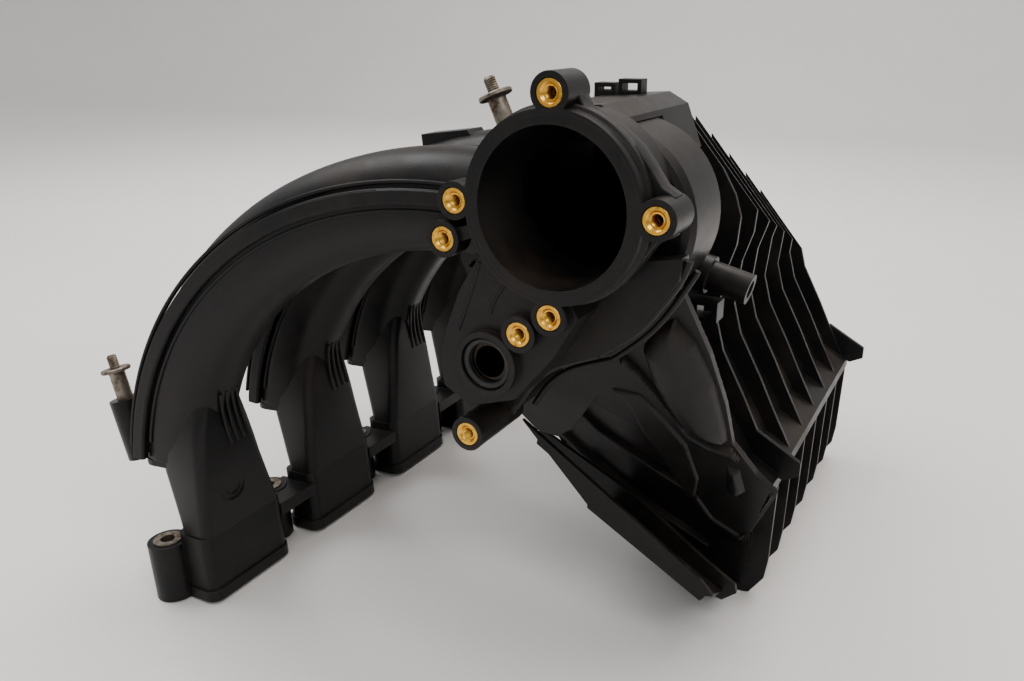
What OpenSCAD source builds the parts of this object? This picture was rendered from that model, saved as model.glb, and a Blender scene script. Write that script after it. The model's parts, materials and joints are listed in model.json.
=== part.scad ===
// Welded plastic intake manifold for a four-cylinder in-line engine.
// Origin: centre of the throttle bore on the throttle flange face.
// +Y runs along the bore into the plenum, +Z is up as the part rests.

/* [Throttle end] */
// Radius of the throttle bore
bore_r = 34; // [28:0.5:38]
// Pitch circle radius of the four throttle bolts
throttle_bolt_r = 46; // [42:0.5:50]
// Radius of the raised ring round the bore
ring_r = 40.5; // [38:0.5:42]
// Radius of the drum behind the throttle flange
drum_r = 43; // [42:0.5:46]

/* [Inserts] */
// Radius of a brass insert
insert_r = 6; // [4:0.1:7]
// Length of a brass insert
insert_len = 10; // [8:0.5:10]
// Thread core radius of a brass insert
insert_hole_r = 2.5; // [2:0.05:3.4]

/* [Runners] */
// Distance between two neighbouring runners
runner_pitch = 91; // [84:0.5:98]
// Width of a runner along the engine
runner_w = 44; // [40:1:48]
// Depth of a runner across its curve
runner_h = 48; // [44:1:52]
// Wall thickness of the shells
wall = 3; // [2.4:0.1:4]
// Turn of the runner planes about the upright axis
slant = 9; // [6:0.5:11]

/* [Head end] */
// Height of a bolt boss
boss_h = 36; // [28:1:38]
// Outer radius of a bolt boss
boss_r = 12; // [11:0.5:13]
// Outer radius of a steel compression limiter
limiter_r = 8.5; // [7:0.1:9.5]
// Bore radius of a steel compression limiter
limiter_hole_r = 4.25; // [3.3:0.05:5]

/* [Plenum] */
// Distance between two neighbouring ribs of the plenum
rib_pitch = 34.5; // [30:0.5:36]
// Thickness of a rib
rib_t = 2.6; // [2:0.1:4]
// Length of the welded plenum
plenum_len = 215; // [200:1:230]

/* [Vent port] */
// Radius of the bore that takes the sleeve
vent_r = 9.6; // [8:0.1:11]
// Length of the vent port
vent_len = 26; // [18:1:32]

/* [Hidden] */

$fn = 48;
black = [0.09, 0.09, 0.1];
brass = [0.8, 0.6, 0.22];
steel = [0.5, 0.48, 0.44];
rubber = [0.05, 0.05, 0.05];
gap = 0.05;
far = 800;

// head end, in a frame tipped with the head flange
lean = 3;
foot_x = -226;
foot_z = -254.4;
foot_mid = 14.1;
foot_w = 25;
foot_len = 64;
foot_h = 42;
foot_c = -0.5;
rim_h = 7;
link_x = -15.5;
link_w = 27.5;
link_t = 8.4;
link_drop = 0.6;
end_bolt = 32.7;
bolt_y = [foot_mid - end_bolt, foot_mid + runner_pitch/2, foot_mid + 1.5*runner_pitch,
    foot_mid + 2.5*runner_pitch, foot_mid + 3*runner_pitch + end_bolt];
bolt_x = [-20, -14, -14, -14, -20];
seal_w = 22;
seal_len = 58;
seal_t = 3;
leg_top = -170;
collar_at = -2;
collar_w = 47;
leg_low = -212;
port_y0 = -10;
port_y1 = 38;

// runner curve, in the runner's own turned plane
arch_x = -236;
arch_y = 5.3;
arch_z = -166;
crown = [173, -188];
crown_r = 206 - runner_h/2;
end_a = 80;
start_a = 178;
corner = 19;
seam_c = [164, -192];
seam_r = 190.4;
lip = 3;
lip_t = 3.5;
lip_in = 9;

// plenum, cross-section across the engine
plenum_x0 = -72;
stub_x = -40;
plenum_y0 = 44;
rib_y0 = 148;
plenum_y1 = rib_y0 + plenum_len;
weld_a = 30;
weld_x = 72;
weld_z = -176;
ledge_t = 3.5;
rib_proud = 12;
function weld(x, t = 0) = [x, weld_z + (weld_x - x)*tan(weld_a) + t];
upper_pts = [[plenum_x0, 17], [-12, 20], [3, 11], [15, -4], [23, -17], [26, -30], [24, -46],
    [18, -62], [16, -86], [22, -106], [38, -134], [52, -156], weld(57), weld(plenum_x0)];
rib_pts = [[-12, 20], [1.7, 29.6], [13.4, 18], [26, 0], [35, -15.5], [38.6, -27], [37.5, -42.4],
    [32, -60], [29.5, -86], [34.5, -104], [49, -131], [57.3, -148], weld(weld_x),
    weld(50), [40, -150], [5, -100], [-12, 0]];
ear_pts = [[45, -150], [57, -148], [83, -163], [83, -171], [74, -175.5], weld(62)];
lower_pts = [weld(60), [60, -228], [48, -243], [-10, -211], [-48, -172], weld(plenum_x0)];
floor_z = -256;
fin_pts = [weld(weld_x, -0.5), [70.7, -230], [69, -243], [61, -255], [57, floor_z], [52, floor_z], [-14, -219],
    [-62, -187], [-66, -162], [-53.5, -161], [21, -199.5], [45, -212], [56, -200], [56, -180]];
fin_b_pts = [[-64, -159], [2, -190], [40, -216], [61, -229], [62, -234], [54, -241], [47, -239.5],
    [-14, -203], [-66, -170]];
fin_a_pts = [[-57, -138], [50.5, -208], [57.6, -216], [51, -218], [-14, -183]];
bow_y = [79, 113, rib_y0];
bow_pts = [[54, -217], [51, -221], [-16, -183], [-16, -179]];

// plane that takes off the plenum's upper corner towards the far end
taper = [0.77, 0.26, 0.64];
taper_at = [26, rib_y0, 0];

// slanted front wall: across, then down the slope
front_y = 45;
front_z = -40;
front_a = atan(95/170);
front_t = 3.5;
front_pts = [[-66, 0], [45, 0], [53, 36], [57.5, 72], [58.5, 104], [69, 127], [79, 142], [68, 172],
    [57, 201], [43, 191], [27, 169], [15, 124], [-2, 86], [-13, 85], [-37, 123], [-49, 134],
    [-62, 132], [-73, 111]];

// inlet shell
ring_y = 14;
neck_y = 40;
neck_t = 4;
drum_y = 78;
drum_at = [5, -11.5];
drum_round = 5;
inserts = [[0, throttle_bolt_r], [throttle_bolt_r, 0], [-throttle_bolt_r, 0], [-52.5, -17.5],
    [0, -throttle_bolt_r], [-15, -56], [-42.7, -110]];
boss_len = [20, 20, 10.5, 10.5, 20, 20, 40];
insert_wall = 2.4;
plate_y = 4;
plate_pts = [[-36, -24], [-47, -41], [-55, -61], [-59, -77], [-57, -89], [-43, -97], [-19, -89],
    [0, -66], [12, -46], [0, -24]];
duct_y = 25;
duct_pts = [[-30, -30], [-46, -44], [-53, -62], [-56, -78], [-54, -90], [-48, -104], [-39, -113],
    [-31, -103], [-25, -91], [-9, -79], [11, -70], [30, -56], [48, -30], [49, -20], [28, -24]];
duct_in_pts = [[-30, -56], [-46, -64], [-50, -78], [-47, -92], [-39, -104], [-28, -88], [-10, -74], [8, -66], [-4, -58]];
vent_at = [-32, -73];
vent_ring_r = 15.4;
sleeve_r = 7.6;
o_ring_r = 11;
o_ring_t = 1.5;
o_ring_seat = 4;
seat_r = 12.6;

// nipple, studs, clips and tab
nipple_at = [22, 92, -40];
nipple_a = 103.6;
nipple_r = 7.5;
nipple_hole_r = 4.5;
nipple_len = 40;
collar_r = 9.4;
clip_at = [15, 87, -67];
clip_size = [32, 11, 10];
clip_slot_at = [37, 80, -65];
clip_slot = [7, 30, 6];
stud_collar_r = 8.5;
stud_body_r = 4.6;
stud_thread_r = 3;
stud_thread = 8;
stud_in = 10;
front_stud = [-271, -8, -173];
front_stud_a = -14.5;
front_sleeve = 37;
front_body = 19;
top_stud = [-47.4, 60, 12];
top_stud_a = -24.2;
top_sleeve = 14;
top_body = 17;
holder_r = 9.4;
top_plate = [[-40, 12], [-38, 30], [-24, 37], [4, 38.5], [14, 33], [22, 12]];
tab_pts = [[-138, 12], [-107, 16], [-102, 10], [-102, 0], [-136, -6]];

// rounded rectangle as a list of points
function rr(w, h, r, n = 4) = [for (q = [0:3])
    let (cx = (q == 0 || q == 3 ? 1 : -1)*(w/2 - r), cy = (q < 2 ? 1 : -1)*(h/2 - r))
    for (k = [0:n]) [cx + r*cos(90*(q + k/n)), cy + r*sin(90*(q + k/n))]];

module prism_y(pts, y0, y1) {
    translate([0, y1, 0]) rotate([90, 0, 0]) linear_extrude(y1 - y0) polygon(pts);
}

module prism_x(pts, x0, x1) {
    translate([x0, 0, 0]) rotate([90, 0, 90]) linear_extrude(x1 - x0) polygon(pts);
}

module bar_y(at, r, y0, y1) {
    translate([at.x, y0, at.y]) rotate([-90, 0, 0]) cylinder(r = r, h = y1 - y0);
}

// space beyond the sloped plane, moved in by t
module taper_cut(t) {
    translate(taper_at - t*taper/norm(taper))
        rotate([0, acos(taper.z/norm(taper)), atan2(taper.y, taper.x)])
            translate([-far/2, -far/2, 0]) cube(far);
}

// across, down the slope, and inwards
module at_front() {
    translate([0, front_y, front_z]) rotate([front_a - 90, 0, 0]) children();
}

// space in front of the slanted wall, moved in by t
module front_cut(t) {
    at_front() translate([-far/2, -far/2, t - far]) cube(far);
}

module front_plate(pts, h) {
    at_front() translate([0, 0, -h]) linear_extrude(h) polygon(pts);
}

// ---------- runner frame and curve ----------

module at_runner(i) {
    translate([arch_x, arch_y + i*runner_pitch, 0]) rotate([0, 0, slant]) children();
}

module arc_y(c, r, a0, a1) {
    translate([c.x, 0, c.y]) rotate([90, 0, 0]) rotate([0, 0, a0])
        rotate_extrude(angle = a1 - a0, $fn = 144) translate([r, 0]) children();
}

module tube() {
    arc_y(crown, crown_r, end_a, start_a) polygon(rr(runner_h, runner_w, corner));
}

module tube_hole() {
    arc_y(crown, crown_r, end_a - 1, start_a + 1)
        polygon(rr(runner_h - 2*wall, runner_w - 2*wall, corner - wall));
}

module seam_disc(r) {
    translate([seam_c.x, runner_w, seam_c.y]) rotate([90, 0, 0]) cylinder(r = r, h = 2*runner_w, $fn = 192);
}

// weld lips on both sides of a runner, across the seam
module lips() {
    for (s = [-1, 1]) arc_y(seam_c, seam_r - lip_t, 96, 171)
        translate([0, s > 0 ? runner_w/2 - lip_in : -runner_w/2 - lip]) square([2*lip_t, lip + lip_in]);
}

module beyond(x) {
    translate([x, -far/2, -far/2]) cube(far);
}

module below_arch() {
    translate([-far/2, -far/2, arch_z - far]) cube(far);
}

module runner_cap(i) {
    color(black) difference() {
        at_runner(i) difference() {
            union() {
                tube();
                lips();
            }
            difference() {
                tube_hole();
                translate([-60, -50, arch_z - 10]) cube([60, 100, 10 + wall]);
            }
            seam_disc(seam_r);
            below_arch();
        }
        beyond(plenum_x0);
    }
}

module runner_body(i) {
    difference() {
        at_runner(i) difference() {
            intersection() {
                union() {
                    tube();
                    lips();
                }
                seam_disc(seam_r);
            }
            below_arch();
        }
        beyond(plenum_x0 + 0.5);
    }
}

// ---------- head end ----------

module at_foot() {
    translate([foot_x, 0, foot_z]) rotate([0, -lean, 0]) children();
}

module leg() {
    hull() {
        translate([-229.1, 4.3, leg_top]) linear_extrude(1) polygon(rr(30.6, 42, 6));
        translate([-226.8, foot_mid, leg_low]) linear_extrude(1) polygon(rr(21.4, 61, 6));
    }
    at_runner(0) translate([collar_at, 0, leg_top]) linear_extrude(arch_z - leg_top)
        polygon(rr(collar_w, runner_w, 8));
}

module leg_hole() {
    intersection() {
        prism_y([[-233, floor_z - 10], [-220, floor_z - 10], [-220, leg_low], [-217.5, leg_top + 10], [-241, leg_top + 10],
            [-233, leg_low]], -30, 60);
        prism_x([[port_y0, floor_z - 10], [port_y1, floor_z - 10], [port_y1, leg_low], [21, leg_top + 10],
            [-12, leg_top + 10], [port_y0, leg_low]], -260, -200);
    }
}

module head_body() {
    color(black) difference() {
        union() {
            for (i = [0:3]) translate([0, i*runner_pitch, 0]) leg();
            at_foot() {
                for (i = [0:3]) translate([foot_c, foot_mid + i*runner_pitch, 0]) {
                    linear_extrude(foot_h) polygon(rr(foot_w, foot_len, 6));
                    linear_extrude(rim_h) polygon(rr(foot_w + 2.4, foot_len + 2.4, 7));
                }
                for (i = [0:2]) translate([link_x, foot_mid + i*runner_pitch + foot_len/2 - 2, boss_h - link_t - link_drop])
                    cube([link_w, runner_pitch - foot_len + 4, link_t]);
                for (k = [0:4]) translate([bolt_x[k], bolt_y[k], 0]) cylinder(r = boss_r, h = boss_h);
            }
        }
        for (i = [0:3]) translate([0, i*runner_pitch, 0]) leg_hole();
        at_foot() {
            for (i = [0:3]) translate([foot_c, foot_mid + i*runner_pitch, -1]) linear_extrude(seal_t + 1)
                difference() {
                    polygon(rr(seal_w, seal_len, 5));
                    polygon(rr(seal_w - 2*seal_t, seal_len - 2*seal_t, 2));
                }
            for (k = [0:4]) translate([bolt_x[k], bolt_y[k], -1]) cylinder(r = limiter_r, h = boss_h + 2);
        }
    }
}

module limiter(k) {
    color(steel) at_foot() translate([bolt_x[k], bolt_y[k], 0]) difference() {
        cylinder(r = limiter_r - gap, h = boss_h + 0.8);
        translate([0, 0, -1]) cylinder(r = limiter_hole_r, h = boss_h + 3);
    }
}

module port_seal(i) {
    color(rubber) at_foot() translate([foot_c, foot_mid + i*runner_pitch, 0.2]) linear_extrude(seal_t - 0.2)
        difference() {
            polygon(rr(seal_w - 0.2, seal_len - 0.2, 5));
            polygon(rr(seal_w - 2*seal_t + 0.2, seal_len - 2*seal_t + 0.2, 2));
        }
}

// ---------- plenum ----------

module drum() {
    translate([drum_at.x, neck_y, drum_at.y]) rotate([-90, 0, 0]) rotate_extrude()
        polygon([[0, 0], [drum_r - drum_round, 0], [drum_r - drum_round*0.4, drum_round*0.3],
            [drum_r, drum_round], [drum_r, drum_y - neck_y], [0, drum_y - neck_y]]);
    prism_y(top_plate, neck_y, rib_y0 - 23);
}

module upper_shell() {
    color(black) difference() {
        union() {
            difference() {
                union() {
                    prism_y(upper_pts, plenum_y0, plenum_y1);
                    prism_y([weld(-80), weld(weld_x), weld(weld_x, ledge_t), weld(-80, ledge_t)], plenum_y0, plenum_y1);
                }
                taper_cut(rib_proud);
                front_cut(0);
            }
            difference() {
                for (k = [0:6]) prism_y(rib_pts, rib_y0 + k*rib_pitch, rib_y0 + k*rib_pitch + rib_t);
                taper_cut(0);
            }
            for (y = [rib_y0, plenum_y1 - 4]) prism_y(ear_pts, y, y + 3);
            drum();
            for (i = [0:3]) runner_body(i);
            difference() {
                at_runner(0) tube();
                beyond(stub_x);
                translate([plenum_x0 - far, -far/2, -far/2]) cube(far);
            }
        }
        difference() {
            prism_y([for (q = upper_hollow()) q], plenum_y0 + wall, plenum_y1 - wall);
            taper_cut(rib_proud + wall);
            front_cut(wall);
        }
        bar_y([0, 0], bore_r, neck_y - 1, drum_y + 8);
        translate([stub_x - 6, plenum_y0, -24]) cube([20, 11, 24]);
        for (i = [0:3]) at_runner(i) tube_hole();
        intersection() {
            prism_y(duct_in_pts, duct_y, 130);
            at_front() translate([-far/2, -far/2, -20]) cube([far, far, 20 + 2*wall]);
        }
        at_nipple() cylinder(r = nipple_r + gap, h = nipple_len, center = true);
    }
}

// the plenum's section moved in by the wall
function upper_hollow() = [[plenum_x0 + wall, 17 - wall], [-13, 20 - wall], [1, 8], [12, -6], [20, -18], [23, -30],
    [21, -45], [15, -61], [13, -87], [19, -107], [35, -135.5], [50, -159.5], weld(54, -1), weld(plenum_x0 + wall, -1)];

module lower_shell() {
    color(black) difference() {
        union() {
            difference() {
                union() {
                    prism_y(lower_pts, plenum_y0, plenum_y1);
                    prism_y([weld(-80, -ledge_t), weld(weld_x, -ledge_t), weld(weld_x), weld(-80)], plenum_y0, plenum_y1);
                }
                front_cut(0);
            }
            for (k = [0:6]) prism_y(fin_pts, rib_y0 + k*rib_pitch, rib_y0 + k*rib_pitch + rib_t);
            prism_y(fin_b_pts, bow_y[1], bow_y[1] + rib_t);
            prism_y(fin_a_pts, bow_y[0], bow_y[0] + rib_t);
            bow();
        }
        difference() {
            prism_y([weld(57, 1), [57, -226], [46, -239], [-8, -209], [-45, -171], weld(plenum_x0 + wall, 1)],
                plenum_y0, plenum_y1 - wall);
            front_cut(wall);
        }
    }
}

// sloped plate under the front fins
module bow() {
    drop = (219 - 256.5)/(bow_y[2] - bow_y[0]);
    a = atan(drop);
    intersection() {
        translate([0, bow_y[0], 0]) rotate([a, 0, 0]) translate([0, -20, 0])
            prism_y([for (p = bow_pts) [p.x, p.y*cos(a)]], 0, 200);
        prism_y([[-80, -100], [80, -100], [80, floor_z], [-80, floor_z]], bow_y[0], bow_y[2] + 2);
    }
}

// ---------- inlet shell ----------

module inlet_shell() {
    color(black) difference() {
        union() {
            bar_y([0, 0], ring_r, 0, ring_y);
            bar_y([0, 0], bore_r + neck_t, ring_y - 1, neck_y);
            for (k = [0:6]) bar_y(inserts[k], insert_r + insert_wall, 0, boss_len[k]);
            bar_y(vent_at, vent_ring_r, 0, vent_len);
            prism_y(plate_pts, plate_y, duct_y + 1.5);
            difference() {
                union() {
                    intersection() {
                        prism_y(duct_pts, duct_y, 130);
                        front_cut(-1);
                    }
                    front_plate(front_pts, front_t);
                }
                bar_y(drum_at, drum_r, neck_y, 200);
            }
            for (k = [0:4]) boss_web(inserts[k], boss_len[k]);
        }
        bar_y([0, 0], bore_r, -1, neck_y + 60);
        intersection() {
            prism_y(duct_in_pts, duct_y + wall, 130);
            front_cut(1);
        }
        for (k = [0:6]) bar_y(inserts[k], insert_r, -1, insert_len + 0.5);
        bar_y(vent_at, vent_r, -1, vent_len + 1);
        bar_y(vent_at, seat_r, -1, o_ring_seat);
    }
}

// web from the ring to a boss
module boss_web(at, len) {
    rotate([0, -atan2(at.y, at.x), 0]) translate([bore_r + 1.5, 2, -3])
        cube([norm(at) - insert_r - bore_r - 2.2, len - 3, 6]);
}

module insert(k) {
    color(brass) translate([inserts[k].x, gap, inserts[k].y]) rotate([-90, 0, 0]) difference() {
        cylinder(r = insert_r - gap, h = insert_len);
        translate([0, 0, -1]) cylinder(r = insert_hole_r, h = insert_len + 2);
    }
}

module vent_sleeve() {
    color(steel) difference() {
        bar_y(vent_at, vent_r - gap, o_ring_seat + 0.5, vent_len - 1);
        bar_y(vent_at, sleeve_r, 0, vent_len);
    }
}

module vent_o_ring() {
    color(rubber) translate([vent_at.x, o_ring_seat - o_ring_t, vent_at.y]) rotate([-90, 0, 0])
        rotate_extrude() translate([o_ring_r, 0]) circle(r = o_ring_t - gap, $fn = 24);
}

// ---------- nipple, clips, studs and tab ----------

module at_nipple() {
    translate(nipple_at) rotate([0, nipple_a, 0]) children();
}

module hose_nipple() {
    color(black) at_nipple() difference() {
        union() {
            cylinder(r = nipple_r, h = nipple_len);
            translate([0, 0, 6]) cylinder(r = collar_r, h = 14);
        }
        translate([0, 0, -1]) cylinder(r = nipple_hole_r, h = nipple_len + 2);
    }
}

module nipple_clip() {
    color(black) difference() {
        translate(clip_at) cube(clip_size);
        translate(clip_slot_at) cube(clip_slot);
        prism_y(upper_pts, plenum_y0, plenum_y1);
    }
}

module stud_shape(base, sleeve) {
    translate([0, 0, sleeve - stud_in + gap]) cylinder(r = stud_body_r, h = stud_in + base);
    translate([0, 0, sleeve + base]) cylinder(r = stud_collar_r, h = 2.2);
    translate([0, 0, sleeve + base + 2]) cylinder(r = stud_thread_r, h = stud_thread);
}

module holder_shape(sleeve) {
    difference() {
        cylinder(r = holder_r, h = sleeve);
        translate([0, 0, sleeve - stud_in]) cylinder(r = stud_body_r + gap, h = stud_in + 1);
    }
}

module at_front_stud() {
    translate(front_stud) rotate([0, front_stud_a, 0]) children();
}

module at_top_stud() {
    translate(top_stud) rotate([0, top_stud_a, 0]) children();
}

module stud_holder_front() {
    color(black) difference() {
        at_front_stud() {
            holder_shape(front_sleeve);
            translate([4, -4, 0]) cube([14, 8, front_sleeve - 6]);
        }
        at_runner(0) {
            tube();
            lips();
        }
    }
}

module stud_holder_top() {
    color(black) difference() {
        at_top_stud() holder_shape(top_sleeve);
        prism_y([[-90, -80], [-90, 16.1], [-12, 20], [-12, -80]], 0, 120);
        at_runner(0) tube();
        prism_y(top_plate, neck_y, rib_y0);
    }
}

module cable_clip(x, w, h) {
    color(black) difference() {
        translate([x, 106, 34]) cube([w, 8, h]);
        translate([x + 2, 104, 39.5]) cube([w - 4, 12, h - 7.5]);
        prism_y(top_plate, 100, 120);
    }
}

module tab_bracket() {
    color(black) difference() {
        prism_y(tab_pts, 108, 124);
        at_runner(1) tube();
    }
}

head_body();
limiter(0);  // limiter_1
limiter(1);  // limiter_2
limiter(2);  // limiter_3
limiter(3);  // limiter_4
limiter(4);  // limiter_5
port_seal(0);  // port_seal_1
port_seal(1);  // port_seal_2
port_seal(2);  // port_seal_3
port_seal(3);  // port_seal_4
upper_shell();
runner_cap(0);  // runner_cap_1
runner_cap(1);  // runner_cap_2
runner_cap(2);  // runner_cap_3
runner_cap(3);  // runner_cap_4
lower_shell();
inlet_shell();
insert(0);  // insert_top
insert(1);  // insert_right
insert(2);  // insert_left
insert(3);  // insert_left_low
insert(4);  // insert_bottom
insert(5);  // insert_bottom_left
insert(6);  // insert_standoff
vent_sleeve();
vent_o_ring();
hose_nipple();
nipple_clip();
stud_holder_front();
color(steel) at_front_stud() stud_shape(front_body, front_sleeve);  // stud_front
stud_holder_top();
color(steel) at_top_stud() stud_shape(top_body, top_sleeve);  // stud_top
cable_clip(-29, 11, 9);  // cable_clip_1
cable_clip(-16, 12, 11);  // cable_clip_2
tab_bracket();
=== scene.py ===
"""Finished looks of a welded plastic intake manifold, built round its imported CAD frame.

Every length in the source of a sub-assembly is in millimetres and is turned to metres by one
function. +Y runs along the throttle bore into the plenum, and +Z is up as the part rests.
"""

import json
import logging
import math
from dataclasses import dataclass, field
from enum import Enum
from typing import Callable, Iterable, Sequence

import bpy
from mathutils import Matrix, Vector


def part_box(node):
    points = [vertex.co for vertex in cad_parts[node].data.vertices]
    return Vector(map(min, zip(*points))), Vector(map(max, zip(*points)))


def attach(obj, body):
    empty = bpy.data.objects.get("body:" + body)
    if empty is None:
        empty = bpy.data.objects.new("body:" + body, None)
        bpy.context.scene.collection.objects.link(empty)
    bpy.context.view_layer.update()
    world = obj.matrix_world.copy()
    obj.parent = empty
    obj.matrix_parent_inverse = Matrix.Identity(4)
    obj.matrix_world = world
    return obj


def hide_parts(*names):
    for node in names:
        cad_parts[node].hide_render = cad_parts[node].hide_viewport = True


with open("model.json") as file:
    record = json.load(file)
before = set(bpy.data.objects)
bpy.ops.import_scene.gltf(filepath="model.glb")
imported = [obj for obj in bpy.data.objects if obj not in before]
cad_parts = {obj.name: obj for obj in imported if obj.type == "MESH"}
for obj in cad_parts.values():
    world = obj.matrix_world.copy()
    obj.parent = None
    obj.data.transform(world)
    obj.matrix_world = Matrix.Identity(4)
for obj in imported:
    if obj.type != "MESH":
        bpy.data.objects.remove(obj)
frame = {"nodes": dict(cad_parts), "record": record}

log = logging.getLogger("manifold")
logging.basicConfig(level=logging.INFO, format="%(name)s %(message)s")


def mm(*values: float) -> Vector:
    """A point given in millimetres, in metres.

    Args:
        values: The coordinates in millimetres.

    Returns:
        The same point in metres.
    """
    return Vector(values) * 0.001


class Slot(Enum):
    """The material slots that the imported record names."""

    BODY = "body"
    BRASS = "brass"
    STEEL = "steel"
    SLEEVE = "sleeve"
    SEAL = "seal"


# ---------------------------------------------------------------- finishes


def linear(code: str) -> tuple[float, float, float, float]:
    """An sRGB hex colour as the linear RGBA that a shader reads.

    Args:
        code: Six hex digits, with or without a leading hash.

    Returns:
        Red, green, blue and alpha, each from 0 to 1.
    """
    digits = code.lstrip("#")
    parts = [int(digits[k : k + 2], 16) / 255 for k in (0, 2, 4)]
    bent = [p / 12.92 if p <= 0.04045 else ((p + 0.055) / 1.055) ** 2.4 for p in parts]
    return (bent[0], bent[1], bent[2], 1.0)


def add_node(
    tree: bpy.types.NodeTree,
    kind: str,
    settings: dict[str, object] | None = None,
    values: dict[str, object] | None = None,
    links: dict[str, bpy.types.NodeSocket] | None = None,
) -> bpy.types.Node:
    """Adds one node, sets it and links its inputs.

    Args:
        tree: The node tree that takes the node.
        kind: The node's type, such as ShaderNodeTexNoise.
        settings: Properties of the node itself, by name.
        values: Default values of its input sockets, by socket name or number.
        links: Output sockets that feed its inputs, by socket name or number.

    Returns:
        The new node.
    """
    node = tree.nodes.new(kind)
    for name, value in (settings or {}).items():
        setattr(node, name, value)
    for name, value in (values or {}).items():
        node.inputs[name].default_value = value
    for name, source in (links or {}).items():
        tree.links.new(source, node.inputs[name])
    return node


def ramp(
    tree: bpy.types.NodeTree, source: bpy.types.NodeSocket, low: float, high: float
) -> bpy.types.NodeSocket:
    """Spreads a grey value so that low gives 0 and high gives 1.

    Args:
        tree: The node tree that takes the node.
        source: The grey value.
        low: The value that becomes 0.
        high: The value that becomes 1.

    Returns:
        The spread value.
    """
    node = add_node(
        tree,
        "ShaderNodeMapRange",
        {"interpolation_type": "SMOOTHSTEP", "clamp": True},
        {"From Min": low, "From Max": high},
        {"Value": source},
    )
    return node.outputs["Result"]


def start_material(name: str) -> tuple[bpy.types.Material, bpy.types.NodeTree, bpy.types.NodeSocket]:
    """A new empty node material and its object coordinates.

    Args:
        name: The material's name.

    Returns:
        The material, its tree, and the socket of the object coordinates in metres.
    """
    material = bpy.data.materials.new(name)
    material.use_nodes = True
    material.node_tree.nodes.clear()
    place = add_node(material.node_tree, "ShaderNodeTexCoord")
    return material, material.node_tree, place.outputs["Object"]


@dataclass(frozen=True)
class MouldedNylon:
    """Glass-filled nylon 66, injection moulded: near black, satin, with a fine spark texture and road dust."""

    name: str = "glass_filled_nylon"
    clean: str = "#0b0b0d"
    worn: str = "#171615"
    dust: str = "#46392f"
    dust_share: float = 0.26
    gloss_low: float = 0.27
    gloss_high: float = 0.46
    grain_mm: float = 0.9  # real texture is about 0.05 mm, drawn coarser so that it shows
    edge_mm: float = 0.7

    def build(self) -> bpy.types.Material:
        """Builds the finish.

        Returns:
            The material.
        """
        material, tree, place = start_material(self.name)
        cloud = add_node(
            tree, "ShaderNodeTexNoise", values={"Scale": 22.0, "Detail": 6.0, "Roughness": 0.62},
            links={"Vector": place}
        )
        speck = add_node(
            tree, "ShaderNodeTexNoise", values={"Scale": 260.0, "Detail": 5.0, "Roughness": 0.7},
            links={"Vector": place}
        )
        grain = add_node(
            tree, "ShaderNodeTexNoise", values={"Scale": 1000.0 / self.grain_mm, "Detail": 2.0},
            links={"Vector": place}
        )
        facing = add_node(tree, "ShaderNodeNewGeometry")
        normal = add_node(tree, "ShaderNodeSeparateXYZ", links={"Vector": facing.outputs["Normal"]})
        upward = ramp(tree, normal.outputs["Z"], -0.4, 1.0)
        patch = ramp(tree, cloud.outputs["Fac"], 0.44, 0.72)
        specks = ramp(tree, speck.outputs["Fac"], 0.52, 0.72)
        settled = add_node(tree, "ShaderNodeMath", {"operation": "MULTIPLY_ADD"}, {1: 0.55, 2: 0.12}, {0: upward})
        lying = add_node(tree, "ShaderNodeMath", {"operation": "MULTIPLY"}, links={0: patch, 1: settled.outputs[0]})
        sprinkled = add_node(
            tree, "ShaderNodeMath", {"operation": "MULTIPLY_ADD"}, {1: 0.22}, {0: specks, 2: lying.outputs[0]}
        )
        dusty = add_node(
            tree, "ShaderNodeMath", {"operation": "MULTIPLY", "use_clamp": True}, {1: self.dust_share * 2},
            {0: sprinkled.outputs[0]}
        )
        base = add_node(
            tree, "ShaderNodeMix", {"data_type": "RGBA"}, {
                6: linear(self.clean), 7: linear(self.worn)
            }, {0: cloud.outputs["Fac"]}
        )
        colour = add_node(
            tree, "ShaderNodeMix", {"data_type": "RGBA"}, {7: linear(self.dust)},
            {0: dusty.outputs[0], 6: base.outputs[2]}
        )
        rough = add_node(
            tree,
            "ShaderNodeMapRange",
            {"clamp": True},
            {"From Min": 0.2, "From Max": 0.8, "To Min": self.gloss_low, "To Max": self.gloss_high},
            {"Value": cloud.outputs["Fac"]},
        )
        roughness = add_node(
            tree, "ShaderNodeMath", {"operation": "MULTIPLY_ADD", "use_clamp": True}, {1: 0.5},
            {0: dusty.outputs[0], 2: rough.outputs["Result"]}
        )
        edge = add_node(tree, "ShaderNodeBevel", {"samples": 4}, {"Radius": self.edge_mm * 0.001})
        bump = add_node(
            tree,
            "ShaderNodeBump",
            values={"Strength": 0.16, "Distance": 0.0004},
            links={"Height": grain.outputs["Fac"], "Normal": edge.outputs["Normal"]},
        )
        shader = add_node(
            tree,
            "ShaderNodeBsdfPrincipled",
            values={"IOR": 1.53, "Specular IOR Level": 0.2},
            links={
                "Base Color": colour.outputs[2], "Roughness": roughness.outputs[0], "Normal": bump.outputs["Normal"]
            },
        )
        add_node(tree, "ShaderNodeOutputMaterial", links={"Surface": shader.outputs["BSDF"]})
        return material


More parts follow.
